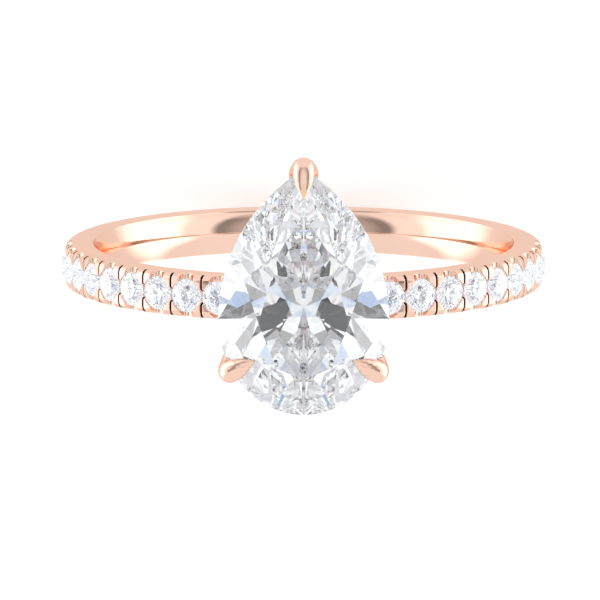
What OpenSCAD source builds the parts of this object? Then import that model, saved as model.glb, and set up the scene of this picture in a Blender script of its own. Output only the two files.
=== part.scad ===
// Engagement ring: a pear-cut centre diamond held by three claws in a two-rail head, on a comfort-fit band
// whose front half carries two rows of ten round diamonds in split-post pave.
// Millimetres. The origin is the centre of the finger hole, +Y runs along the finger, +Z points at the centre
// diamond, and the pear's point is towards +Y.

/* [Band] */
// Radius of the finger hole at its narrowest, on the flat land in the middle of the bore
finger_r = 8.25; // [7.6:0.05:9.2]
// Width of the band along the finger
band_w = 1.75; // [1.7:0.05:2.0]
// Thickness of the band from the finger hole to the tops of the pave posts
band_t = 1.45; // [1.4:0.05:1.7]
// Steepness of the comfort-fit bore beside its land, in degrees
land_slope = 6.5; // [4:0.5:8]
// Steepness of the comfort-fit bore at the band's side faces, in degrees
side_slope = 36; // [28:1:38]
// Width of the cylindrical land in the middle of the bore
land_w = 0.2; // [0.15:0.05:0.4]
// Radius of the band's rounded outer corners
corner_r = 0.3; // [0.2:0.05:0.35]

/* [Pave] */
// Diameter of one round accent diamond
accent_d = 1.34; // [1.2:0.01:1.34]
// Number of accent diamonds on each shoulder
accent_count = 10; // [6:1:10]
// Angle between neighbouring accent diamonds, round the finger
accent_pitch = 8.37; // [8.37:0.01:8.6]
// Width of the saw cut that splits each post into two claws
slit_w = 0.08; // [0.05:0.01:0.1]
// Radius of the scallop under each accent diamond, at the band's edge
scallop_r = 0.32; // [0.2:0.01:0.36]

/* [Centre diamond] */
// Width of the pear at its widest
pear_w = 6.8; // [6.4:0.1:7]
// Length of the pear from its widest line to its point
pear_point_l = 6.0; // [5.6:0.1:6.2]
// Length of the pear from its widest line to its round end
pear_round_l = 3.87; // [3.6:0.01:4]
// Height of the crown, from the girdle to the table
crown_h = 1.08; // [1:0.01:1.15]
// Depth of the pavilion, from the girdle to the culet
pavilion_h = 2.95; // [2.8:0.05:3]
// Thickness of the girdle
girdle_h = 0.16; // [0.12:0.01:0.2]

/* [Head] */
// Height of the girdle's lower edge above the centre of the finger hole
girdle_z = 13.0; // [12.95:0.05:13.3]
// Largest half-width of a claw, just below the girdle
claw_half_w = 0.6; // [0.56:0.02:0.64]
// Height of the gallery rail above the band
gallery_z = 1.35; // [1.2:0.05:1.4]
// Thickness of the gallery rail along Z
gallery_h = 0.55; // [0.45:0.05:0.6]

/* [Hidden] */
sides = ["left", "right"];
accent_names = [for (s = sides, i = [1:accent_count]) str("accent_diamond_", s, "_", i < 10 ? "0" : "", i)];

gold = [0.93, 0.68, 0.57];
ice = [0.93, 0.95, 0.97];
eps = 0.01;
// Sides of the blocks that cut the head's parts and the accent diamonds, larger than what they cut
big_block = 30;
small_block = 6;

// Band
outer_r = finger_r + band_t;
half_w = band_w / 2;
comfort_run = half_w - land_w / 2;
comfort_arc_r = comfort_run / (sin(side_slope) - sin(land_slope));
comfort_rise = comfort_arc_r * (cos(land_slope) - cos(side_slope));
comfort_centre_r = finger_r + comfort_arc_r * cos(land_slope);
comfort_centre_y = land_w / 2 - comfort_arc_r * sin(land_slope);

// Pave: posts stand at whole steps of accent_pitch and diamonds at half steps, from the head outwards
first_accent = 1.5;
last_post_a = (accent_count + 1) * accent_pitch;
accent_girdle_r = outer_r - 0.13;
channel_half_w = 0.28;
channel_depth = 0.16;
slit_depth = 0.26;
scallop_in = 0.5;
scallop_centre_r = outer_r - 0.01;
clear = 1;

// Round brilliant proportions, as shares of the accent's diameter
accent_crown = 0.145 * accent_d;
accent_girdle = 0.03 * accent_d;
accent_pavilion = 0.43 * accent_d;
accent_table_in = 0.215 * accent_d;
seat_gap = 0.004;
seat_mouth_rise = 0.3;
seat_mouth_in = 0.12;

// Pear outline: a half ellipse at the round end and two arcs that meet at the point
pear_a = pear_w / 2;
pear_arc_r = (pear_a * pear_a + pear_point_l * pear_point_l) / (2 * pear_a);
point_turn = asin(pear_point_l / pear_arc_r);
pear_widest_y = -0.17;
culet_xy = [0, 0.37];
pear_table_in = 1.6;
pear_mains = [90, 33, 0, -46, -90, -134, 180, 147];
pear_mids = [45, 16, -22, -68, -112, -158, 164, 135];
round_mains = [for (i = [0:7]) 90 - 45 * i];
round_mids = [for (i = [0:7]) 67.5 - 45 * i];
star_height = 0.62;
lower_half_reach = 0.2;

// Head
claw_side_turn = -28.6;
base_scale = 0.4;
base_hole_scale = 0.2;
base_sunk = 0.3;
base_rise = 0.65;
gallery_scale = 0.8;
gallery_hole_scale = 0.65;

// A point of the pear's outline, by the direction in which the outline faces there
function ellipse_point(turn) =
    let (c = cos(turn), s = sin(turn), n = norm([pear_a * c, pear_round_l * s]))
    [pear_a * pear_a * c / n, pear_round_l * pear_round_l * s / n];
function arc_point(turn) =
    let (t = min(turn, point_turn))
    [pear_a - pear_arc_r * (1 - cos(t)), pear_arc_r * sin(t)];
function mirrored(p) = [-p[0], p[1]];
function pear_point(turn) =
    turn == 90 ? [0, pear_point_l] :
    turn > 90 && turn < 180 ? mirrored(arc_point(180 - turn)) :
    turn > 0 && turn < 90 ? arc_point(turn) :
    ellipse_point(turn);
function round_point(turn) = accent_d / 2 * [cos(turn), sin(turn)];
function facing(turn) = [cos(turn), sin(turn)];

pear_outline = concat(
    [for (i = [0:15]) arc_point(point_turn * i / 16)],
    [[0, pear_point_l]],
    [for (i = [15:-1:0]) mirrored(arc_point(point_turn * i / 16))],
    [for (i = [1:39]) ellipse_point(-180 + 4.5 * i)]
);
round_outline = [for (i = [0:31]) round_point(11.25 * i)];

// The outline scaled about the culet's axis, as the rails and the pavilion's sections are
function scaled_outline(k) = [for (p = pear_outline) culet_xy + k * (p - culet_xy)];

// Where two upright lines of the plan meet: points p with p * n0 = d0 and p * n1 = d1
function meeting(n0, d0, n1, d1) =
    let (det = n0[0] * n1[1] - n0[1] * n1[0])
    [(d0 * n1[1] - d1 * n0[1]) / det, (n0[0] * d1 - n1[0] * d0) / det];
function at_height(p, z) = [p[0], p[1], z];

// Everything on the inner side of a plane that passes through p and faces n
module behind_plane(p, n, size) {
    u = n / norm(n);
    translate(p)
        rotate([0, acos(u[2]), atan2(u[1], u[0])])
            translate([-size / 2, -size / 2, -size])
                cube(size);
}

// The same, for the plane through three points, with a point that is known to be inside
module behind_facet(a, b, c, inside, size) {
    n = cross(b - a, c - a);
    behind_plane(a, n * (a - inside) < 0 ? -n : n, size);
}

// A 57-facet brilliant with its girdle's lower edge at z = 0: table, eight bezels, eight stars and sixteen upper
// halves above, and eight mains and sixteen lower halves below. g and m are the girdle points under the mains and
// between them, and face holds the directions in which the mains look.
module brilliant(outline, g, m, face, crown, girdle, pavilion, culet, table_in, size) {
    bezel_run = table_in / crown;
    top = girdle + crown;
    inside = at_height(culet, 0);
    next = [for (i = [0:7]) (i + 1) % 8];
    reach = [for (i = [0:7]) g[i] * face[i]];
    star_z = girdle + star_height * crown;
    star_run = star_height * crown * bezel_run;
    tip = at_height(culet, -pavilion);
    hull() intersection() {
        translate([0, 0, -size / 2]) linear_extrude(size) polygon(outline);
        behind_plane([0, 0, top], [0, 0, 1], size);
        intersection_for (i = [0:7]) {
            j = next[i];
            n = face[i];
            g0 = g[i];
            table0 = at_height(g0 - n * table_in, top);
            table1 = at_height(g[j] - face[j] * table_in, top);
            star = at_height(meeting(n, reach[i] - star_run, face[j], reach[j] - star_run), star_z);
            corner = at_height(meeting(n, reach[i], face[j], reach[j]), 0);
            low = tip + lower_half_reach * (corner - tip);
            intersection() {
                behind_plane(at_height(g0, girdle), at_height(n / bezel_run, 1), size);
                behind_facet(table0, table1, star, inside, size);
                behind_facet(star, at_height(g0, girdle), at_height(m[i], girdle), inside, size);
                behind_facet(star, at_height(m[i], girdle), at_height(g[j], girdle), inside, size);
                behind_plane(at_height(g0, 0), at_height(n * pavilion, -n * (g0 - culet)), size);
                behind_facet(low, at_height(g0, 0), at_height(m[i], 0), inside, size);
                behind_facet(low, at_height(m[i], 0), at_height(g[j], 0), inside, size);
            }
        }
    }
}

module pear_brilliant() {
    brilliant(
        outline = pear_outline,
        g = [for (t = pear_mains) pear_point(t)],
        m = [for (t = pear_mids) pear_point(t)],
        face = [for (t = pear_mains) facing(t)],
        crown = crown_h,
        girdle = girdle_h,
        pavilion = pavilion_h,
        culet = culet_xy,
        table_in = pear_table_in,
        size = big_block
    );
}

module round_brilliant() {
    brilliant(
        outline = round_outline,
        g = [for (t = round_mains) round_point(t)],
        m = [for (t = round_mids) round_point(t)],
        face = [for (t = round_mains) facing(t)],
        crown = accent_crown,
        girdle = accent_girdle,
        pavilion = accent_pavilion,
        culet = [0, 0],
        table_in = accent_table_in,
        size = small_block
    );
}

// Turns a shape built round Z so that it runs round the finger: its X becomes +Z, and its Z becomes +Y
module round_finger() {
    multmatrix([[0, 1, 0, 0], [0, 0, 1, 0], [1, 0, 0, 0], [0, 0, 0, 1]]) children();
}

// Places a shape on the band at an angle from the centre diamond, positive towards +X: its Z points outwards
module on_band(angle, r) {
    round_finger() rotate([0, 0, angle]) translate([r, 0, 0]) rotate([0, 90, 0]) children();
}

// The band's section: in the bore a flat land, then on each side an arc that opens out to the side face, and
// rounded corners outside
module band_profile() {
    difference() {
        translate([finger_r, -half_w]) square([band_t, band_w]);
        for (side = [-1, 1]) {
            difference() {
                translate([finger_r - eps, side > 0 ? land_w / 2 : -half_w - eps])
                    square([comfort_rise + eps, comfort_run + eps]);
                translate([comfort_centre_r, side * comfort_centre_y])
                    circle(r = comfort_arc_r, $fn = 128);
            }
            difference() {
                translate([outer_r - corner_r, side > 0 ? half_w - corner_r : -half_w - eps])
                    square(corner_r + eps);
                translate([outer_r - corner_r, side * (half_w - corner_r)])
                    circle(r = corner_r, $fn = 48);
            }
        }
    }
}

// The seat of one accent diamond: its pavilion and girdle, then a cone that stays open above the table
module accent_seat() {
    r = accent_d / 2 + seat_gap;
    mouth = accent_girdle + accent_crown + seat_mouth_rise;
    mouth_r = r - seat_mouth_in;
    rotate_extrude($fn = 64)
        polygon([[0, -accent_pavilion - seat_gap], [r, 0], [r, accent_girdle], [mouth_r, mouth], [0, mouth]]);
}

module seats() {
    for (side = [-1, 1], i = [0:accent_count - 1])
        on_band(side * (first_accent + i) * accent_pitch, accent_girdle_r) accent_seat();
}

// The scallops are cylinders along the finger, so that they run out cleanly at the band's side faces
module scallops() {
    for (side = [-1, 1], i = [0:accent_count - 1], edge = [-1, 1])
        round_finger()
            rotate([0, 0, side * (first_accent + i) * accent_pitch])
                translate([scallop_centre_r, 0, edge > 0 ? scallop_in : -scallop_in - clear])
                    cylinder(h = clear, r = scallop_r, $fn = 48);
}

module saw_cuts() {
    for (side = [-1, 1], i = [1:accent_count + 1], edge = [-1, 1])
        on_band(side * i * accent_pitch, outer_r - slit_depth)
            translate([-slit_w / 2, edge > 0 ? channel_half_w - eps : -half_w - clear, 0])
                cube([slit_w, half_w - channel_half_w + clear + eps, clear]);
}

// The sunk floor between the two rows of posts
module channels() {
    for (side = [-1, 1])
        round_finger()
            rotate([0, 0, side > 0 ? accent_pitch : -last_post_a])
                rotate_extrude(angle = last_post_a - accent_pitch, $fn = 256)
                    translate([outer_r - channel_depth, -channel_half_w])
                        square([channel_depth + clear, 2 * channel_half_w]);
}

module shank() {
    color(gold)
        difference() {
            round_finger() rotate_extrude($fn = 256) band_profile();
            seats();
            scallops();
            channels();
            saw_cuts();
        }
}

module accent_diamond(side, i) {
    color(ice)
        on_band(side * (first_accent + i) * accent_pitch, accent_girdle_r) round_brilliant();
}

module placed_pear() {
    translate([0, pear_widest_y, girdle_z]) pear_brilliant();
}

module centre_diamond() {
    color(ice) placed_pear();
}

// The band's round outside, which the claws and the base rail are cut to
module band_cylinder() {
    rotate([90, 0, 0]) cylinder(h = big_block, r = outer_r, center = true, $fn = 256);
}

// One station of a claw's wire: an ellipsoid, with the claw's own X pointing out from the girdle
module claw_bead(across, thick) {
    scale([thick, across, thick]) sphere(r = 1, $fn = 20);
}

// A claw's wire as [share of the way from the culet's axis to the girdle, extra way out, height above the
// girdle, half-width across, half-thickness, shift along the girdle towards the pear's point]
claw_line = [
    [0.36, 0, -2.95, 0.38, 0.36, 0],
    [0.56, 0, -2.55, 0.38, 0.34, 0],
    [0.72, 0, -2.05, 0.4, 0.34, 0],
    [0.82, 0, -1.5, 0.44, 0.34, 0.02],
    [0.9, 0, -0.95, claw_half_w - 0.1, 0.36, 0.03],
    [0.96, -0.06, -0.45, claw_half_w, 0.4, 0.06],
    [1, -0.08, -0.02, claw_half_w - 0.03, 0.46, 0.05],
    [1, 0.07, 0.36, 0.47, 0.44, 0],
    [1, -0.22, 0.62, 0.42, 0.34, 0],
    [1, -0.6, 0.8, 0.3, 0.22, 0],
    [1, -1, 0.94, 0.06, 0.06, 0]
];

// lean is the way across in which the claw's shoulder is shifted: 0 for the claw over the point
module claw_wire(turn, lean) {
    g = pear_point(turn);
    n = facing(turn);
    way = n * (g - culet_xy);
    translate([g[0], g[1] + pear_widest_y, girdle_z])
        rotate([0, 0, turn])
            for (i = [0:len(claw_line) - 2])
                hull()
                    for (s = [claw_line[i], claw_line[i + 1]])
                        translate([way * (s[0] - 1) + s[1], lean * s[5], s[2]])
                            claw_bead(s[3], s[4]);
}

module claw(turn, lean) {
    color(gold)
        difference() {
            claw_wire(turn, lean);
            placed_pear();
            band_cylinder();
        }
}

// A pear-shaped rail between two heights, let into the three claws
module rail(outer_scale, hole_scale, z0, z1) {
    color(gold)
        difference() {
            translate([0, pear_widest_y, z0])
                linear_extrude(z1 - z0)
                    difference() {
                        polygon(scaled_outline(outer_scale));
                        polygon(scaled_outline(hole_scale));
                    }
            band_cylinder();
            claw_wire(90, 0);
            claw_wire(claw_side_turn, 1);
            claw_wire(180 - claw_side_turn, -1);
        }
}

module base_rail() {
    rail(base_scale, base_hole_scale, outer_r - base_sunk, outer_r + base_rise);
}

module gallery_rail() {
    rail(gallery_scale, gallery_hole_scale, outer_r + gallery_z, outer_r + gallery_z + gallery_h);
}

shank();
base_rail();
gallery_rail();
claw(90, 0);  // claw_point
claw(180 - claw_side_turn, -1);  // claw_left
claw(claw_side_turn, 1);  // claw_right
centre_diamond();
for (i = [0:accent_count - 1]) {
    accent_diamond(-1, i);
    accent_diamond(1, i);
}
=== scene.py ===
"""Engagement ring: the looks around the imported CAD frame.

The CAD diamonds are kept as they are, because their facets are exact, and get a cut-diamond material. The metal is
rebuilt here as smooth polished surfaces on the CAD's own dimensions: the band with its split posts, the three claws
and the two rails of the head. Shapes are worked out in millimetres in the frame's axes and turned into metres at the
end: +Y along the finger, +Z towards the centre diamond.
"""

import math

import bpy
import numpy as np
from mathutils import Matrix, Vector


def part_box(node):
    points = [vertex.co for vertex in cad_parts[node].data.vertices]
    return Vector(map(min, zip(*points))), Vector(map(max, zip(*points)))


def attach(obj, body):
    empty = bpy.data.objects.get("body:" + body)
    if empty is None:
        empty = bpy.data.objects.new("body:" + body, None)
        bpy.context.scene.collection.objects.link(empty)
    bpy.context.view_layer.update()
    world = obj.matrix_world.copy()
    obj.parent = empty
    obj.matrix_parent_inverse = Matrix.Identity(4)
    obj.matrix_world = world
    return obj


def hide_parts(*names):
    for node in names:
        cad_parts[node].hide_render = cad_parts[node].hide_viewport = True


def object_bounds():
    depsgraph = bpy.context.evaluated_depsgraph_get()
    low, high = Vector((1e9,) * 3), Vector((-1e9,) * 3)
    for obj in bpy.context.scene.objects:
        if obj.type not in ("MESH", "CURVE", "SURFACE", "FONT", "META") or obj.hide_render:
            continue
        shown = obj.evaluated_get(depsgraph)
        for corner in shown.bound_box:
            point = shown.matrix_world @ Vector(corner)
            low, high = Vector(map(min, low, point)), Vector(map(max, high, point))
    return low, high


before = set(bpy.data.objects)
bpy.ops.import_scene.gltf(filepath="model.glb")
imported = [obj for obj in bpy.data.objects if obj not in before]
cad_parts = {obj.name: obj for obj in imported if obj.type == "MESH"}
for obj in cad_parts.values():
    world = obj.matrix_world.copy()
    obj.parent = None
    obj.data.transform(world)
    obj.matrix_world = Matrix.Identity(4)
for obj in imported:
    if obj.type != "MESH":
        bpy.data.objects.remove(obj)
cad_low, cad_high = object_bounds()

MM = 0.001

# Band, as in the CAD part, except that the bore's land is a narrower rounded ridge here
FINGER_R = 8.25
BAND_W = 1.75
OUTER_R = 9.7
RIDGE_W = 0.035
LAND_SLOPE = math.radians(6.5)
SIDE_SLOPE = math.radians(36.0)
HALF_W = BAND_W / 2
CORNER_R = 0.3
INNER_CORNER_R = 0.06

# Pave, as in the CAD part
PITCH = math.radians(8.37)
ACCENT_COUNT = 10
FIRST_ACCENT = 1.5
ACCENT_R = 0.674
GIRDLE_R = 9.57
GIRDLE_H = 0.04
PAVILION_H = 0.58
CHANNEL_HALF_W = 0.26
CHANNEL_DEPTH = 0.16
SLIT_HALF_W = 0.04
SLIT_DEPTH = 0.26
SCALLOP_R = 0.32
SCALLOP_IN = 0.5
SCALLOP_CENTRE_R = 9.69
LEAN_IN = 0.24

# Which faces of the band get the saw cuts' near-black painted shade: how far down they start, and the leeway at a
# cut's floor and at its walls
CUT_EDGE = 0.07
CUT_MARGIN = 0.01
CUT_WIDEN = 1.4

# Pear outline, as in the CAD part
PEAR_A = 3.4
PEAR_POINT_L = 6.0
PEAR_ROUND_L = 3.87
PEAR_ARC_R = (PEAR_A**2 + PEAR_POINT_L**2) / (2 * PEAR_A)
POINT_TURN = math.asin(PEAR_POINT_L / PEAR_ARC_R)
PEAR_WIDEST_Y = -0.17
CULET = np.array([0.0, 0.37])
GIRDLE_Z = 13.0

# How widely the edges that each cut leaves are rounded, and how far a saw cut runs into the channel
CHANNEL_BLEND = 0.12
SCALLOP_BLEND = 0.05
SEAT_BLEND = 0.03
SLIT_BLEND = 0.025
CLAW_BLEND = 0.02
SLIT_OVERLAP = 0.02

# How finely the smooth surfaces are made
CELL_STEPS = 28
END_STEPS = 12
SECTION_BASE = 8.9
RIDGE_STEPS = 6
BORE_STEPS = 22
CORNER_STEPS = 8
SIDE_STEPS = 5
FRONT_STEPS = 17
BACK_STEPS = 181
CLAW_STEP = 0.032
LINE_STEPS = 6
RAIL_STEPS = 192
RAIL_SECTION_STEPS = 40

# How far up and down each stretch of a claw's wire counts, and how near the wire's surface its cuts are worked out
CLAW_REACH = 0.7
CLAW_NEAR = 0.15


# ---------------------------------------------------------------- small tools


def smooth_max(a, b, blend):
    """The larger of a and b, with their corner rounded over about blend."""
    return np.maximum(a, b) + np.maximum(blend - np.abs(a - b), 0) ** 2 / (4 * blend)


def rounded_corner(a, b, radius):
    """The distance to where both a and b are negative, with a true arc on the edge between them."""
    outside = np.hypot(np.maximum(a + radius, 0), np.maximum(b + radius, 0))
    return np.minimum(np.maximum(a + radius, b + radius), 0) + outside - radius


def gradient(field, points, reach=0.002):
    """The field's slope at each point, from its values just beside it."""
    slope = np.zeros_like(points)
    for axis in range(3):
        shift = np.zeros(3)
        shift[axis] = reach
        slope[:, axis] = (field(points + shift) - field(points - shift)) / (2 * reach)
    return slope


def settle_on(field, points, rounds=3, most=0.02):
    """Moves each point along the slope onto the surface where the field is zero."""
    for _ in range(rounds):
        slope = gradient(field, points)
        size = np.maximum((slope**2).sum(1), 0.04)
        move = slope * (field(points) / size)[:, None]
        length = np.linalg.norm(move, axis=1, keepdims=True)
        points = points - move * np.minimum(1, most / np.maximum(length, 1e-9))
    return points


def surface_net(field, low, counts, step):
    """The surface where the field is zero, as (points, quads), with one point in each grid cell that it crosses."""
    axes = [low[k] + step * np.arange(counts[k]) for k in range(3)]
    grid = np.stack(np.meshgrid(*axes, indexing="ij"), axis=-1)
    value = field(grid.reshape(-1, 3)).reshape(counts)
    cells = tuple(c - 1 for c in counts)
    total = np.zeros(cells + (3,))
    hits = np.zeros(cells, int)
    edges = []
    for axis in range(3):
        first = tuple(slice(0, -1) if k == axis else slice(None) for k in range(3))
        second = tuple(slice(1, None) if k == axis else slice(None) for k in range(3))
        a, b = value[first], value[second]
        crossed = (a < 0) != (b < 0)
        where = np.argwhere(crossed)
        point = grid[first][crossed]
        point[:, axis] += step * a[crossed] / (a[crossed] - b[crossed])
        others = [k for k in range(3) if k != axis]
        around = []
        for back in ((1, 1), (0, 1), (0, 0), (1, 0)):
            cell = where.copy()
            cell[:, others] -= back
            kept = ((cell >= 0) & (cell < cells)).all(1)
            np.add.at(total, tuple(cell[kept].T), point[kept])
            np.add.at(hits, tuple(cell[kept].T), 1)
            around.append((cell, kept))
        whole = np.logical_and.reduce([kept for _, kept in around])
        flipped = (a[crossed] > 0) != (axis == 1)
        edges.append(([cell[whole] for cell, _ in around], flipped[whole]))
    number = np.full(cells, -1)
    number[hits > 0] = np.arange((hits > 0).sum())
    points = total[hits > 0] / hits[hits > 0][:, None]
    quads = []
    for around, flipped in edges:
        quad = np.stack([number[tuple(cell.T)] for cell in around], axis=1)
        quad[flipped] = quad[flipped][:, ::-1]
        quads.append(quad)
    return points, np.concatenate(quads)


def only(points, quads, kept):
    """The quads whose four points are all kept, with the points that they use."""
    quads = quads[kept[quads].all(1)]
    used, quads = np.unique(quads, return_inverse=True)
    return points[used], quads.reshape(-1, 4)


class Patches:
    """Collects patches of points, normals and quads, and welds them into one piece."""

    def __init__(self):
        self.points, self.normals, self.quads, self.size = [], [], [], 0

    def add(self, points, normals, quads, flip=False):
        self.points.append(points)
        self.normals.append(normals)
        self.quads.append((quads[:, ::-1] if flip else quads) + self.size)
        self.size += len(points)

    def piece(self, name, weld=0.0005):
        points, normals = np.concatenate(self.points), np.concatenate(self.normals)
        quads = np.concatenate(self.quads)
        order = weld_order(points, weld)
        count = order.max() + 1
        merged, facing = np.zeros((count, 3)), np.zeros((count, 3))
        merged[order] = points
        np.add.at(facing, order, normals)
        facing /= np.maximum(np.linalg.norm(facing, axis=1, keepdims=True), 1e-9)
        return mesh_piece(name, merged, order[quads], facing)


def weld_order(points, reach):
    """For each point the number of the merged point that it belongs to. Points closer than reach are one."""
    order = np.arange(len(points))
    for shift in (0.0, 0.5):
        keys = np.floor(points / reach + shift + 0.25).astype(np.int64)
        _, first, same = np.unique(keys, axis=0, return_index=True, return_inverse=True)
        group = first[same.ravel()]
        order = np.minimum(order, order[group])
        order = order[order]
    _, order = np.unique(order, return_inverse=True)
    return order.ravel()


def mesh_piece(name, points, quads, normals=None):
    """A smooth-shaded object from points in millimetres."""
    distinct = np.array([len(set(q)) for q in quads.tolist()])
    faces = [list(dict.fromkeys(q)) for q, n in zip(quads.tolist(), distinct) if n > 2]
    mesh = bpy.data.meshes.new(name)
    mesh.from_pydata((points * MM).tolist(), [], faces)
    mesh.update()
    mesh.shade_smooth()
    if normals is not None:
        mesh.normals_split_custom_set_from_vertices(normals.tolist())
    piece = bpy.data.objects.new(name, mesh)
    bpy.context.scene.collection.objects.link(piece)
    return piece


# ---------------------------------------------------------------- band


def saw_cut_field(off, y, r):
    """A saw cut, at the distance off along the band from its middle."""
    ends = np.maximum(CHANNEL_HALF_W - SLIT_OVERLAP - y, OUTER_R - SLIT_DEPTH - r)
    return np.maximum(off - SLIT_HALF_W, ends)


def cell_field(points):
    """One pave cell, unrolled: x along the band from the diamond's centre, y along the finger, z outwards.
    The angle folds at the saw cut, so that the field is the same on both sides of it."""
    half = PITCH / 2
    turn = half - np.abs(half - np.abs(points[:, 0] / OUTER_R))
    y, r = np.abs(points[:, 1]), points[:, 2]
    across, up = r * np.sin(turn), r * np.cos(turn)
    body = rounded_corner(r - OUTER_R, y - HALF_W, CORNER_R)
    from_axis = np.hypot(across, y) - ACCENT_R
    slope = math.atan2(PAVILION_H, ACCENT_R)
    under = (from_axis + (GIRDLE_R - up) / math.tan(slope)) * math.sin(slope)
    over = from_axis + LEAN_IN * (up - GIRDLE_R - GIRDLE_H)
    seat = np.maximum(np.maximum(from_axis, under), over)
    channel = np.maximum(y - CHANNEL_HALF_W, OUTER_R - CHANNEL_DEPTH - r)
    scallop = np.maximum(np.hypot(across, up - SCALLOP_CENTRE_R) - SCALLOP_R, SCALLOP_IN - y)
    metal = smooth_max(body, -channel, CHANNEL_BLEND)
    metal = smooth_max(metal, -scallop, SCALLOP_BLEND)
    metal = smooth_max(metal, -seat, SEAT_BLEND)
    return smooth_max(metal, -saw_cut_field(r * np.sin(half - turn), y, r), SLIT_BLEND)


def end_field(points):
    """The outer half of the last post: x from its saw cut towards the plain band."""
    y, r = np.abs(points[:, 1]), points[:, 2]
    body = rounded_corner(r - OUTER_R, y - HALF_W, CORNER_R)
    return smooth_max(body, -saw_cut_field(np.abs(points[:, 0]), y, r), SLIT_BLEND)


def quarter(field, columns, step):
    """A quarter of a cell or of a post, cut exactly at its planes of symmetry, with its normals."""
    half_count = math.ceil(HALF_W / step) + 3
    up_count = math.ceil((OUTER_R - SECTION_BASE) / step) + 5
    low = (-1.5 * step, -1.5 * step, SECTION_BASE - 1.5 * step)
    points, quads = surface_net(field, low, (columns + 4, half_count + 2, up_count), step)
    edge = 0.01 * step
    top = np.array([columns * step + edge, HALF_W + step, OUTER_R + step])
    bottom = np.array([-edge, -edge, SECTION_BASE - edge])
    points, quads = only(points, quads, ((points > bottom) & (points < top)).all(1))
    fixed = points.copy()
    points = settle_on(field, points)
    for axis, places in ((0, (0, columns * step)), (1, (0,)), (2, (SECTION_BASE,))):
        for place in places:
            on_plane = np.abs(fixed[:, axis] - place) < edge
            points[on_plane, axis] = place
    slope = gradient(field, points)
    return points, slope / np.linalg.norm(slope, axis=1, keepdims=True), quads


def place_on_band(points, normals, centre):
    """Rolls unrolled points onto the band, with x = 0 at the angle centre."""
    turn = centre + points[:, 0] / OUTER_R
    r = points[:, 2]
    outward = np.stack([np.sin(turn), np.zeros_like(turn), np.cos(turn)], axis=1)
    onward = np.stack([np.cos(turn), np.zeros_like(turn), -np.sin(turn)], axis=1)
    placed = outward * r[:, None] + np.array([0, 1, 0]) * points[:, 1:2]
    facing = outward * normals[:, 2:3] + onward * (normals[:, 0] * OUTER_R / r)[:, None]
    facing[:, 1] += normals[:, 1]
    return placed, facing / np.linalg.norm(facing, axis=1, keepdims=True)


def add_mirrored(patches, part, centre, x_signs):
    """Adds a quarter and its mirror images, with x = 0 at the angle centre."""
    points, normals, quads = part
    for x_sign in x_signs:
        for y_sign in (-1, 1):
            signs = np.array([x_sign, y_sign, 1])
            placed = place_on_band(points * signs, normals * signs, centre)
            patches.add(*placed, quads, flip=x_sign * y_sign < 0)


def inner_profile():
    """The band's section from one side face to the ridge of the bore, under the pave: points (y, r), +Y half.
    The bore is two shallow slopes that steepen towards the side faces and meet in a narrow rounded ridge."""
    slope_end = HALF_W - INNER_CORNER_R
    y = np.concatenate([np.linspace(0, RIDGE_W, RIDGE_STEPS), np.linspace(RIDGE_W, slope_end, BORE_STEPS)[1:]])
    share = (y - RIDGE_W) / (HALF_W - RIDGE_W)
    steep = np.arcsin(math.sin(LAND_SLOPE) + share * (math.sin(SIDE_SLOPE) - math.sin(LAND_SLOPE)))
    slope = np.where(y < RIDGE_W, y / RIDGE_W * LAND_SLOPE, steep)
    rise = np.concatenate([[0], np.cumsum(np.diff(y) * np.tan((slope[1:] + slope[:-1]) / 2))])
    bore = [(y[i], FINGER_R + rise[i]) for i in range(len(y))][::-1]
    corner = []
    corner_r = FINGER_R + rise[-1] + INNER_CORNER_R
    for i in range(1, CORNER_STEPS):
        a = (math.pi / 2 - slope[-1]) * i / CORNER_STEPS
        corner.append((y[-1] + INNER_CORNER_R * math.cos(a), corner_r - INNER_CORNER_R * math.sin(a)))
    side = [(HALF_W, r) for r in np.linspace(SECTION_BASE, corner_r, SIDE_STEPS)]
    return np.array(side + corner + bore)


def sweep(patches, profile, turns):
    """Sweeps a section (y, r) along the band through the angles turns."""
    along = np.gradient(profile, axis=0)
    facing = np.stack([-along[:, 1], along[:, 0]], axis=1)
    facing /= np.linalg.norm(facing, axis=1, keepdims=True)
    rows, columns = len(turns), len(profile)
    outward = np.stack([np.sin(turns), np.zeros(rows), np.cos(turns)], axis=1)
    finger = np.array([0.0, 1.0, 0.0])
    points = outward[:, None] * profile[None, :, 1:2] + finger * profile[None, :, 0:1]
    normals = outward[:, None] * facing[None, :, 1:2] + finger * facing[None, :, 0:1]
    number = np.arange(rows * columns).reshape(rows, columns)
    corners = [number[:-1, :-1], number[1:, :-1], number[1:, 1:], number[:-1, 1:]]
    quads = np.stack([c.ravel() for c in corners], axis=1)
    patches.add(points.reshape(-1, 3), normals.reshape(-1, 3), quads)


def in_saw_cut(centre):
    """Whether a point of the band, in millimetres, is on the walls or the floor of a saw cut."""
    turn = math.atan2(abs(centre.x), centre.z) / PITCH
    nearest = round(turn)
    off = abs(turn - nearest) * PITCH * OUTER_R
    deep = CUT_EDGE < OUTER_R - math.hypot(centre.x, centre.z) < SLIT_DEPTH + CUT_MARGIN
    between = off < SLIT_HALF_W * CUT_WIDEN and abs(centre.y) > CHANNEL_HALF_W
    return deep and between and 1 <= nearest <= ACCENT_COUNT + 1


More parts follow.
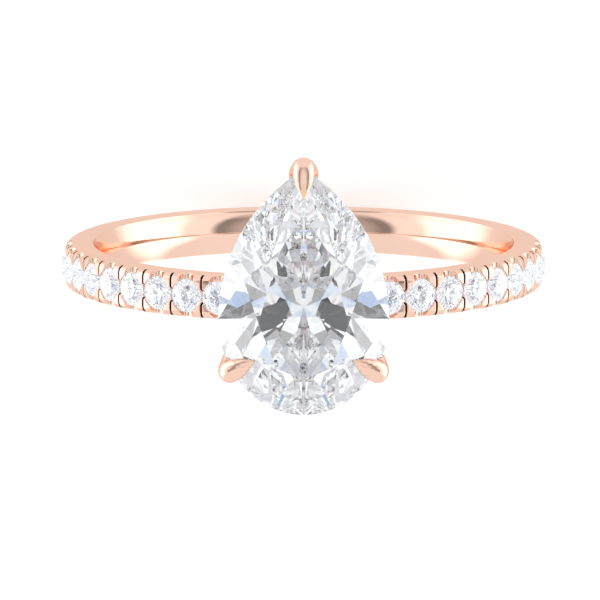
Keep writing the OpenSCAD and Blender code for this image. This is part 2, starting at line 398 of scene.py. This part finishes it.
def make_band():
    """The whole band: pave cells and end posts outside, plain runs between and behind them, and the bore."""
    step = PITCH * OUTER_R / 2 / CELL_STEPS
    cell = quarter(cell_field, CELL_STEPS, step)
    end = quarter(end_field, END_STEPS, step)
    patches = Patches()
    last = (FIRST_ACCENT + ACCENT_COUNT - 0.5) * PITCH
    for side in (-1, 1):
        for i in range(ACCENT_COUNT):
            add_mirrored(patches, cell, side * (FIRST_ACCENT + i) * PITCH, (-1, 1))
        add_mirrored(patches, end, side * PITCH, (-side,))
        add_mirrored(patches, end, side * last, (side,))

    turn_step = step / OUTER_R
    near, far = PITCH - END_STEPS * turn_step, last + END_STEPS * turn_step
    front = np.linspace(-near, near, FRONT_STEPS)
    back = np.linspace(far, 2 * math.pi - far, BACK_STEPS)
    pave = far - turn_step * np.arange(round((far - near) / turn_step) + 1)
    whole = np.concatenate([-pave, front[1:], pave[::-1][1:], back[1:]])

    inner = inner_profile()
    inner = np.concatenate([inner, (inner * [-1, 1])[::-1][1:]])
    sweep(patches, inner, whole)

    edge = end[0][np.abs(end[0][:, 0] - END_STEPS * step) < 0.01 * step][:, 1:]
    edge = edge[np.argsort(edge[:, 1] - edge[:, 0])]
    outer = np.concatenate([edge * [-1, 1], edge[::-1][1:]])
    for turns in (front, back):
        sweep(patches, outer, turns)
    return patches


# ---------------------------------------------------------------- head

# A claw from the base rail to its tip: share of the way from the culet's axis to the girdle, extra way out, height
# above the girdle, half-width across, half-thickness, and how far a leaning claw is shifted across
CLAW_LINE = np.array([
    (0.36, 0.00, -2.95, 0.38, 0.36, 0.00),
    (0.56, 0.00, -2.55, 0.38, 0.34, 0.00),
    (0.72, 0.00, -2.05, 0.40, 0.34, 0.00),
    (0.82, 0.00, -1.50, 0.44, 0.34, 0.02),
    (0.90, 0.00, -0.95, 0.50, 0.36, 0.03),
    (0.96, -0.06, -0.45, 0.60, 0.40, 0.06),
    (1.00, -0.08, -0.02, 0.57, 0.46, 0.05),
    (1.00, 0.07, 0.36, 0.47, 0.44, 0.00),
    (1.00, -0.22, 0.62, 0.42, 0.34, 0.00),
    (1.00, -0.60, 0.80, 0.30, 0.22, 0.00),
    (1.00, -1.00, 0.94, 0.06, 0.06, 0.00),
])
CLAW_TURNS = {"claw_point": 90.0, "claw_left": 208.6, "claw_right": -28.6}
CLAW_LEANS = {"claw_point": 0, "claw_left": -1, "claw_right": 1}
BASE_RAIL = {"outer": 0.4, "hole": 0.2}
GALLERY_RAIL = {"outer": 0.8, "hole": 0.65}
RAIL_SQUARENESS = 0.42
STONE_GAP = 0.004
# The room around a claw: past the girdle outwards and inwards, to each side, under and over the girdle
CLAW_OUT, CLAW_IN, CLAW_SIDE, CLAW_UNDER, CLAW_OVER = 0.7, 0.5, 0.95, 3.4, 1.3


def pear_point(turn):
    """The point of the pear's outline where it faces the direction turn, in degrees."""
    turn = (turn + 180) % 360 - 180
    c, s = math.cos(math.radians(turn)), math.sin(math.radians(turn))
    if s <= 0:
        size = math.hypot(PEAR_A * c, PEAR_ROUND_L * s)
        return np.array([PEAR_A**2 * c / size, PEAR_ROUND_L**2 * s / size])
    arc = min(math.radians(turn if c > 0 else 180 - turn), POINT_TURN)
    side = math.copysign(1, c) if abs(c) > 1e-6 else 1
    return np.array([side * (PEAR_A - PEAR_ARC_R * (1 - math.cos(arc))), PEAR_ARC_R * math.sin(arc)])


def pear_outline(count):
    """The outline as about count points, anticlockwise from the widest line, with one point on the tip."""
    arc = [POINT_TURN * i / count * 4 for i in range(count // 4 + 1)]
    right = [(PEAR_A - PEAR_ARC_R * (1 - math.cos(a)), PEAR_ARC_R * math.sin(a)) for a in arc]
    left = [(-x, y) for x, y in right[-2::-1]]
    turns = [math.pi * (1 + i / (count // 2)) for i in range(1, count // 2)]
    below = [(PEAR_A * math.cos(t), PEAR_ROUND_L * math.sin(t)) for t in turns]
    return np.array(right + left + below)


def smooth_line(stations, steps):
    """A Catmull-Rom curve through the rows of stations, with steps points for each gap."""
    padded = np.vstack([2 * stations[0] - stations[1], stations, 2 * stations[-1] - stations[-2]])
    rows = []
    for i in range(len(stations) - 1):
        a, b, c, d = padded[i : i + 4]
        for t in np.arange(steps) / steps:
            rows.append(b + 0.5 * t * (c - a + t * (2 * a - 5 * b + 4 * c - d + t * (3 * (b - c) + d - a))))
    return np.array(rows + [stations[-1]])


def facet_planes(node):
    """The planes of a convex CAD node as rows (normal, distance), in millimetres."""
    rows = set()
    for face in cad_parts[node].data.polygons:
        if face.area > 1e-11:
            normal = face.normal
            rows.add((*[round(x, 4) for x in normal], round(normal.dot(face.center) / MM, 3)))
    return np.array(sorted(rows))


def claw_field(turn, lean, planes):
    """The field of one claw, and the change from its own axes (out, across, up) to the frame's."""
    girdle = pear_point(turn)
    out = np.array([math.cos(math.radians(turn)), math.sin(math.radians(turn))])
    axes = np.array([[*out, 0], [-out[1], out[0], 0], [0, 0, 1]])
    origin = np.array([girdle[0], girdle[1] + PEAR_WIDEST_Y, GIRDLE_Z])
    line = smooth_line(CLAW_LINE, LINE_STEPS)
    way = (girdle - CULET) @ out
    centre = np.stack([line[:, 1] + (line[:, 0] - 1) * way, lean * line[:, 5], line[:, 2]], axis=1)

    def to_frame(points):
        return points @ axes + origin

    def field(points):
        nearest = np.full(len(points), 1e9)
        shape = np.zeros((len(points), 3))
        shape[:, 1:] = 1
        for i in range(len(centre) - 1):
            start, step = centre[i], centre[i + 1] - centre[i]
            close = np.flatnonzero(np.abs(points[:, 2] - start[2] - step[2] / 2) < CLAW_REACH)
            reach = points[close][:, (0, 2)] - start[[0, 2]]
            along = np.clip(reach @ step[[0, 2]] / (step[0] ** 2 + step[2] ** 2), 0, 1)
            thick = line[i, 4] + along * (line[i + 1, 4] - line[i, 4])
            gap = np.hypot(reach[:, 0] - along * step[0], reach[:, 1] - along * step[2]) / thick
            closer = gap < nearest[close]
            close, along, thick, gap = close[closer], along[closer], thick[closer], gap[closer]
            nearest[close] = gap
            wide = line[i, 3] + along * (line[i + 1, 3] - line[i, 3])
            across = (points[close, 1] - start[1] - along * step[1]) / wide
            shape[close] = np.stack([across, wide, thick], axis=1)
        share = np.hypot(nearest, shape[:, 0])
        slope = np.hypot(nearest / shape[:, 2], shape[:, 0] / shape[:, 1])
        wire = (share - 1) * share / np.maximum(slope, 1e-6)
        near = np.abs(wire) < CLAW_NEAR
        placed = to_frame(points[near])
        stone = (placed @ planes[:, :3].T - planes[:, 3]).max(1) - STONE_GAP
        finger = np.hypot(placed[:, 0], placed[:, 2]) - OUTER_R
        wire[near] = smooth_max(smooth_max(wire[near], -stone, CLAW_BLEND), -finger, CLAW_BLEND)
        return wire

    return field, to_frame


def make_claw(node, turn, lean, planes):
    """One claw, cut to the stone's facets and to the top of the band."""
    field, to_frame = claw_field(turn, lean, planes)
    reach = pear_point(turn) - CULET
    out_way = reach @ [math.cos(math.radians(turn)), math.sin(math.radians(turn))]
    base_in = (1 - CLAW_LINE[0, 0]) * out_way
    low = np.array([-base_in - CLAW_IN, -CLAW_SIDE, -CLAW_UNDER])
    high = np.array([CLAW_OUT, CLAW_SIDE, CLAW_OVER])
    counts = tuple(np.ceil((high - low) / CLAW_STEP).astype(int))
    points, quads = surface_net(field, low, counts, CLAW_STEP)
    points = settle_on(field, points)
    slope = gradient(field, points)
    normals = slope / np.linalg.norm(slope, axis=1, keepdims=True)
    turned = to_frame(normals) - to_frame(np.zeros(3))
    piece = mesh_piece("polished_" + node, to_frame(points), quads, turned)
    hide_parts(node)
    return piece


def make_rail(node, shares):
    """A rounded pear-shaped rail. Its underside follows the band where the band is in its way."""
    outline = pear_outline(RAIL_STEPS)
    low, high = (corner.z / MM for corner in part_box(node))
    outer, hole = (CULET + share * (outline - CULET) for share in (shares["outer"], shares["hole"]))
    middle, reach = (outer + hole) / 2, (outer - hole) / 2
    turns = 2 * math.pi * np.arange(RAIL_SECTION_STEPS) / RAIL_SECTION_STEPS
    across = np.sign(np.cos(turns)) * np.abs(np.cos(turns)) ** RAIL_SQUARENESS
    up = np.sign(np.sin(turns)) * np.abs(np.sin(turns)) ** RAIL_SQUARENESS
    plan = middle[:, None] + reach[:, None] * across[None, :, None]
    x, y = plan[..., 0], plan[..., 1] + PEAR_WIDEST_Y
    floor = np.maximum(low, np.sqrt(OUTER_R**2 - x**2))
    z = (floor + high) / 2 + (high - floor) / 2 * up
    points = np.stack([x, y, z], axis=-1)
    rows, columns = z.shape
    number = np.arange(rows * columns).reshape(rows, columns)
    onward = np.roll(number, -1, axis=0)
    corners = [number, onward, np.roll(onward, -1, axis=1), np.roll(number, -1, axis=1)]
    quads = np.stack([c.ravel() for c in corners], axis=1)
    piece = mesh_piece("polished_" + node, points.reshape(-1, 3), quads)
    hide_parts(node)
    return piece


# ---------------------------------------------------------------- materials

GOLD_DARK = (0.84, 0.575, 0.462)
GOLD_LIGHT = (0.88, 0.605, 0.49)
GOLD_GRAZING = (0.96, 0.78, 0.68, 1)
GOLD_THROUGH_STONE = (0.9, 0.9, 0.92, 1)
# Near-black painted shade for the walls and floors of the saw cuts, where shadow falls deep in the narrow cuts
SAW_CUT_SHADE_DARK = (0.02, 0.014, 0.012)
SAW_CUT_SHADE_LIGHT = (0.06, 0.04, 0.035)
ICE_DARK = {"centre": (0.97, 0.985, 1.0), "accent": (0.96, 0.98, 1.0)}
ICE_LIGHT = (1.0, 1.0, 1.0)
DIAMOND_IOR = 2.417
SPARKLE = {"centre": 0.0, "accent": 0.03}
SPARKLE_COLOUR = (0.85, 0.93, 1, 1)
PAPER_DARK = (0.93, 0.93, 0.93)
PAPER_LIGHT = (0.95, 0.95, 0.95)
PAPER_BOUNCED = (0.8, 0.8, 0.8, 1)
PAPER_THROUGH_STONE = (0.8, 0.81, 0.82, 1)
PAPER_GLOW = 0.22


def new_material(name):
    material = bpy.data.materials.new(name)
    material.use_nodes = True
    tree = material.node_tree
    return material, tree, tree.nodes["Principled BSDF"]


def noise(tree, scale, detail=4.0, stretch=(1, 1, 1)):
    """A noise texture in the frame's metres, so that scale is in features a metre."""
    where = tree.nodes.new("ShaderNodeTexCoord")
    mapping = tree.nodes.new("ShaderNodeMapping")
    mapping.inputs["Scale"].default_value = stretch
    texture = tree.nodes.new("ShaderNodeTexNoise")
    texture.inputs["Scale"].default_value = scale
    texture.inputs["Detail"].default_value = detail
    tree.links.new(where.outputs["Object"], mapping.inputs["Vector"])
    tree.links.new(mapping.outputs["Vector"], texture.inputs["Vector"])
    return texture


def ramp(tree, source, low, high, start=0.35, end=0.65):
    """Turns a texture into a blend between two colours."""
    node = tree.nodes.new("ShaderNodeValToRGB")
    node.color_ramp.elements[0].position = start
    node.color_ramp.elements[1].position = end
    node.color_ramp.elements[0].color = (*low, 1)
    node.color_ramp.elements[1].color = (*high, 1)
    tree.links.new(source.outputs["Fac"], node.inputs["Fac"])
    return node


def spread(tree, source, low, high):
    """Turns a texture into a number between low and high."""
    node = tree.nodes.new("ShaderNodeMapRange")
    node.inputs["From Min"].default_value = 0.3
    node.inputs["From Max"].default_value = 0.7
    node.inputs["To Min"].default_value = low
    node.inputs["To Max"].default_value = high
    tree.links.new(source.outputs["Fac"], node.inputs["Value"])
    return node


def through_stone(tree):
    """1 for light that has been through a diamond on its way to the lens, otherwise 0."""
    path = tree.nodes.new("ShaderNodeLightPath")
    passed = tree.nodes.new("ShaderNodeMath")
    passed.operation = "GREATER_THAN"
    passed.inputs[1].default_value = 0.5
    tree.links.new(path.outputs["Transmission Depth"], passed.inputs[0])
    return passed.outputs[0]


def seen_through_stone(tree, colour, neutral):
    """A colour that turns neutral where it is seen through a diamond, so that the stones stay colourless."""
    mix = tree.nodes.new("ShaderNodeMix")
    mix.data_type = "RGBA"
    mix.inputs["B"].default_value = neutral
    tree.links.new(through_stone(tree), mix.inputs["Factor"])
    tree.links.new(colour, mix.inputs["A"])
    return mix.outputs["Result"]


def rose_gold(name, scratches):
    """Polished rose gold: a slight drift of the alloy's colour, a soft polish that varies, and fine hairlines that
    run along the stretch scratches."""
    material, tree, shader = new_material(name)
    shader.inputs["Metallic"].default_value = 1.0
    shader.inputs["Specular Tint"].default_value = GOLD_GRAZING
    alloy = ramp(tree, noise(tree, 220.0), GOLD_DARK, GOLD_LIGHT)
    seen = seen_through_stone(tree, alloy.outputs["Color"], GOLD_THROUGH_STONE)
    tree.links.new(seen, shader.inputs["Base Color"])
    polish = spread(tree, noise(tree, 900.0), 0.05, 0.11)
    tree.links.new(polish.outputs["Result"], shader.inputs["Roughness"])
    hairlines = noise(tree, 9000.0, 2.0, scratches)
    bump = tree.nodes.new("ShaderNodeBump")
    bump.inputs["Strength"].default_value = 0.05
    bump.inputs["Distance"].default_value = 0.000004
    tree.links.new(hairlines.outputs["Fac"], bump.inputs["Height"])
    tree.links.new(bump.outputs["Normal"], shader.inputs["Normal"])
    return material


def saw_cut_painted_shade():
    """The walls of the saw cuts: painted shade, near-black dull metal with a faint mottle like tool marks, standing
    for the shadow deep in the narrow cuts.
    """
    material, tree, shader = new_material("saw_cut_painted_shade")
    shader.inputs["Metallic"].default_value = 1.0
    walls = ramp(tree, noise(tree, 9000.0, 2.0), SAW_CUT_SHADE_DARK, SAW_CUT_SHADE_LIGHT)
    tree.links.new(walls.outputs["Color"], shader.inputs["Base Color"])
    shader.inputs["Roughness"].default_value = 0.7
    return material


def cut_diamond(kind):
    """A clear cut diamond, with the faintest drift of its body colour and of the polish on its facets. Its sparkle is
    a little light of its own, which stands for the glints of a stone too small to show them."""
    material, tree, shader = new_material(kind + "_diamond_ice")
    shader.inputs["Transmission Weight"].default_value = 1.0
    shader.inputs["IOR"].default_value = DIAMOND_IOR
    body = ramp(tree, noise(tree, 500.0, 2.0), ICE_DARK[kind], ICE_LIGHT)
    tree.links.new(body.outputs["Color"], shader.inputs["Base Color"])
    polish = spread(tree, noise(tree, 4000.0), 0.0, 0.004)
    tree.links.new(polish.outputs["Result"], shader.inputs["Roughness"])
    shader.inputs["Emission Color"].default_value = SPARKLE_COLOUR
    shader.inputs["Emission Strength"].default_value = SPARKLE[kind]
    return material


def studio_floor():
    """White paper with a little glow, which is duller where light bounces off it and through the diamonds."""
    material, tree, shader = new_material("studio_floor")
    paper = ramp(tree, noise(tree, 40.0), PAPER_DARK, PAPER_LIGHT)
    path = tree.nodes.new("ShaderNodeLightPath")
    seen = tree.nodes.new("ShaderNodeMix")
    seen.data_type = "RGBA"
    seen.inputs["A"].default_value = PAPER_BOUNCED
    tree.links.new(path.outputs["Is Camera Ray"], seen.inputs["Factor"])
    tree.links.new(paper.outputs["Color"], seen.inputs["B"])
    darker = seen_through_stone(tree, seen.outputs["Result"], PAPER_THROUGH_STONE)
    tree.links.new(darker, shader.inputs["Base Color"])
    shader.inputs["Roughness"].default_value = 0.9
    shader.inputs["Emission Color"].default_value = (1, 1, 1, 1)
    glow = tree.nodes.new("ShaderNodeMix")
    glow.inputs["A"].default_value = PAPER_GLOW
    glow.inputs["B"].default_value = 0.0
    tree.links.new(through_stone(tree), glow.inputs["Factor"])
    tree.links.new(glow.outputs["Result"], shader.inputs["Emission Strength"])
    return material


# ---------------------------------------------------------------- studio

# The camera stands over the centre diamond, tipped a little towards the pear's point, with a very long lens
CAMERA_TILT = math.radians(9.2)
CAMERA_AWAY = 600.0
CAMERA_LENS = 885.6
CAMERA_SHIFT_RIGHT = -0.146
CAMERA_SHIFT_UP = -1.508
SENSOR_W = 36.0

FLOOR_HALF_W = 1.5
FLOOR_GAP = 0.00002

# Brightness of the studio by the angle from the way to the lens, as (degrees, brightness): for what the metal
# mirrors, and for what shows through the diamonds
METAL_SKY = (
    (0, 1.1), (24, 1.05), (32, 0.7), (40, 0.5), (46, 0.32), (50, 0.32), (55, 1.22), (70, 1.27), (79, 2.1),
    (111, 2.1), (128, 1.05), (180, 0.98),
)
STONE_SKY = (
    (0, 1.2), (12.5, 1.2), (14, 0.02), (27.5, 0.02), (29.5, 1.2), (35, 1.2), (37, 0.42), (44, 0.42), (46.5, 1.12),
    (54, 1.12), (56, 1.0), (64, 1.0), (66, 1.1), (77, 1.1), (80, 1.05), (180, 0.85),
)
# Round areas of one even brightness in what the metal mirrors, as (degrees from +Z towards +Y, degrees of the inner
# and the outer edge, brightness): two pale walls, and the lens itself, which the centre diamond's table mirrors
SKY_AREAS = ((-66.0, 56, 64, 1.08), (97.0, 42, 60, 1.08), (-9.2, 4, 7, 0.42))
# How blue the light through the diamonds is, by the same angle, and the blue that it turns to
SKY_BLUE = (0.22, 0.48, 1, 1)
BLUE_SKY = (
    (0, 0), (26.5, 0), (28.2, 1), (29.7, 0), (35.2, 0), (36.5, 1), (37.8, 0), (44, 0), (45.5, 0.5), (47, 0),
    (56, 0), (58, 0.6), (60, 0), (180, 0),
)


def make_camera():
    """The photo's view: from straight over the tilted stone, a little off its middle."""
    back = Vector((0, math.sin(CAMERA_TILT), math.cos(CAMERA_TILT)))
    up = Vector((0, math.cos(CAMERA_TILT), -math.sin(CAMERA_TILT)))
    right = Vector((1, 0, 0))
    data = bpy.data.cameras.new("camera")
    data.lens = CAMERA_LENS
    data.sensor_width = SENSOR_W
    data.clip_start, data.clip_end = 0.01, 10.0
    camera = bpy.data.objects.new("camera", data)
    place = (back * CAMERA_AWAY + right * CAMERA_SHIFT_RIGHT + up * CAMERA_SHIFT_UP) * MM
    turn = Matrix((right, up, back)).transposed().to_4x4()
    camera.matrix_world = Matrix.Translation(place) @ turn
    bpy.context.scene.collection.objects.link(camera)
    bpy.context.scene.camera = camera


def make_floor():
    """The floor just under the band. The metal mirrors the studio's light from below it instead."""
    mesh = bpy.data.meshes.new("floor")
    size, z = FLOOR_HALF_W, cad_low.z - FLOOR_GAP
    corners = [(-size, -size, z), (size, -size, z), (size, size, z), (-size, size, z)]
    mesh.from_pydata(corners, [], [(0, 1, 2, 3)])
    floor = bpy.data.objects.new("floor", mesh)
    mesh.materials.append(studio_floor())
    bpy.context.scene.collection.objects.link(floor)
    floor.visible_glossy = False


def away_from(tree, axis):
    """The angle of a world direction from axis, in degrees."""
    where = tree.nodes.new("ShaderNodeTexCoord")
    dot = tree.nodes.new("ShaderNodeVectorMath")
    dot.operation = "DOT_PRODUCT"
    dot.inputs[1].default_value = Vector(axis).normalized()
    arc = tree.nodes.new("ShaderNodeMath")
    arc.operation = "ARCCOSINE"
    degrees = tree.nodes.new("ShaderNodeMath")
    degrees.operation = "DEGREES"
    tree.links.new(where.outputs["Generated"], dot.inputs[0])
    tree.links.new(dot.outputs["Value"], arc.inputs[0])
    tree.links.new(arc.outputs[0], degrees.inputs[0])
    return degrees.outputs[0]


def levels(tree, angle, stops):
    """Grey levels by angle: stops are (degrees, brightness), joined by straight ramps."""
    node = tree.nodes.new("ShaderNodeFloatCurve")
    share = tree.nodes.new("ShaderNodeMath")
    share.operation = "DIVIDE"
    share.inputs[1].default_value = 180.0
    tree.links.new(angle, share.inputs[0])
    curve = node.mapping.curves[0]
    brightest = max(level for _, level in stops)
    while len(curve.points) < len(stops):
        curve.points.new(0.5, 0.5)
    for point, (degrees, level) in zip(curve.points, stops):
        point.location = (degrees / 180.0, level / brightest)
        point.handle_type = "VECTOR"
    node.mapping.update()
    tree.links.new(share.outputs[0], node.inputs["Value"])
    scaled = tree.nodes.new("ShaderNodeMath")
    scaled.operation = "MULTIPLY"
    scaled.inputs[1].default_value = brightest
    tree.links.new(node.outputs["Value"], scaled.inputs[0])
    return scaled.outputs[0]


def make_sky():
    """A white studio: rings of light and shade around the way to the lens, one set for what the metal mirrors and one
    for light that comes through the diamonds."""
    world = bpy.data.worlds.new("studio")
    world.use_nodes = True
    tree = world.node_tree
    background = tree.nodes["Background"]
    lens_way = (0, math.sin(CAMERA_TILT), math.cos(CAMERA_TILT))
    angle = away_from(tree, lens_way)
    for_metal = levels(tree, angle, METAL_SKY)
    for tilt, inner, outer, level in SKY_AREAS:
        way = (0, math.sin(math.radians(tilt)), math.cos(math.radians(tilt)))
        inside = levels(tree, away_from(tree, way), ((0, 1), (inner, 1), (outer, 0), (180, 0)))
        area = tree.nodes.new("ShaderNodeMix")
        area.inputs["B"].default_value = level
        tree.links.new(inside, area.inputs["Factor"])
        tree.links.new(for_metal, area.inputs["A"])
        for_metal = area.outputs["Result"]
    for_stones = levels(tree, angle, STONE_SKY)
    mix = tree.nodes.new("ShaderNodeMix")
    tree.links.new(through_stone(tree), mix.inputs["Factor"])
    tree.links.new(for_metal, mix.inputs["A"])
    tree.links.new(for_stones, mix.inputs["B"])
    tree.links.new(mix.outputs["Result"], background.inputs["Strength"])
    blue = tree.nodes.new("ShaderNodeMath")
    blue.operation = "MULTIPLY"
    tree.links.new(levels(tree, angle, BLUE_SKY), blue.inputs[0])
    tree.links.new(through_stone(tree), blue.inputs[1])
    tint = tree.nodes.new("ShaderNodeMix")
    tint.data_type = "RGBA"
    tint.inputs["A"].default_value = (1, 1, 1, 1)
    tint.inputs["B"].default_value = SKY_BLUE
    tree.links.new(blue.outputs[0], tint.inputs["Factor"])
    tree.links.new(tint.outputs["Result"], background.inputs["Color"])
    bpy.context.scene.world = world


def dress(piece, material):
    """Gives a piece its one material."""
    piece.data.materials.clear()
    piece.data.materials.append(material)


def facet_shading(node):
    """Flat facets on a CAD diamond."""
    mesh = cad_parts[node].data
    if "custom_normal" in mesh.attributes:
        mesh.attributes.remove(mesh.attributes["custom_normal"])
    mesh.shade_flat()


def main():
    """Builds the metal, dresses every piece, and sets up the studio."""
    band = make_band().piece("polished_band")
    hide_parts("shank")
    planes = facet_planes("centre_diamond")
    claws = [make_claw(node, turn, CLAW_LEANS[node], planes) for node, turn in CLAW_TURNS.items()]
    rails = [make_rail("base_rail", BASE_RAIL), make_rail("gallery_rail", GALLERY_RAIL)]
    band_gold = rose_gold("rose_gold_band", (1.0, 0.12, 1.0))
    head_gold = rose_gold("rose_gold_head", (1.0, 1.0, 0.15))
    dress(band, band_gold)
    # The walls and floors of the saw cuts get the near-black painted shade
    band.data.materials.append(saw_cut_painted_shade())
    for face in band.data.polygons:
        if in_saw_cut(face.center / MM):
            face.material_index = 1
    for piece in claws + rails:
        dress(piece, head_gold)
    for piece in [band] + claws + rails:
        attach(piece, "root")

    centre, accent = cut_diamond("centre"), cut_diamond("accent")
    for name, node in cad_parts.items():
        if "diamond" in name:
            facet_shading(name)
            node.data.materials.clear()
            node.data.materials.append(centre if name == "centre_diamond" else accent)

    make_floor()
    make_sky()
    make_camera()
    scene = bpy.context.scene
    scene.view_settings.view_transform = "Standard"
    scene.cycles.max_bounces = 40
    scene.cycles.transmission_bounces = 32
    scene.cycles.glossy_bounces = 32
    scene.cycles.caustics_refractive = True
    scene.cycles.caustics_reflective = True


main()
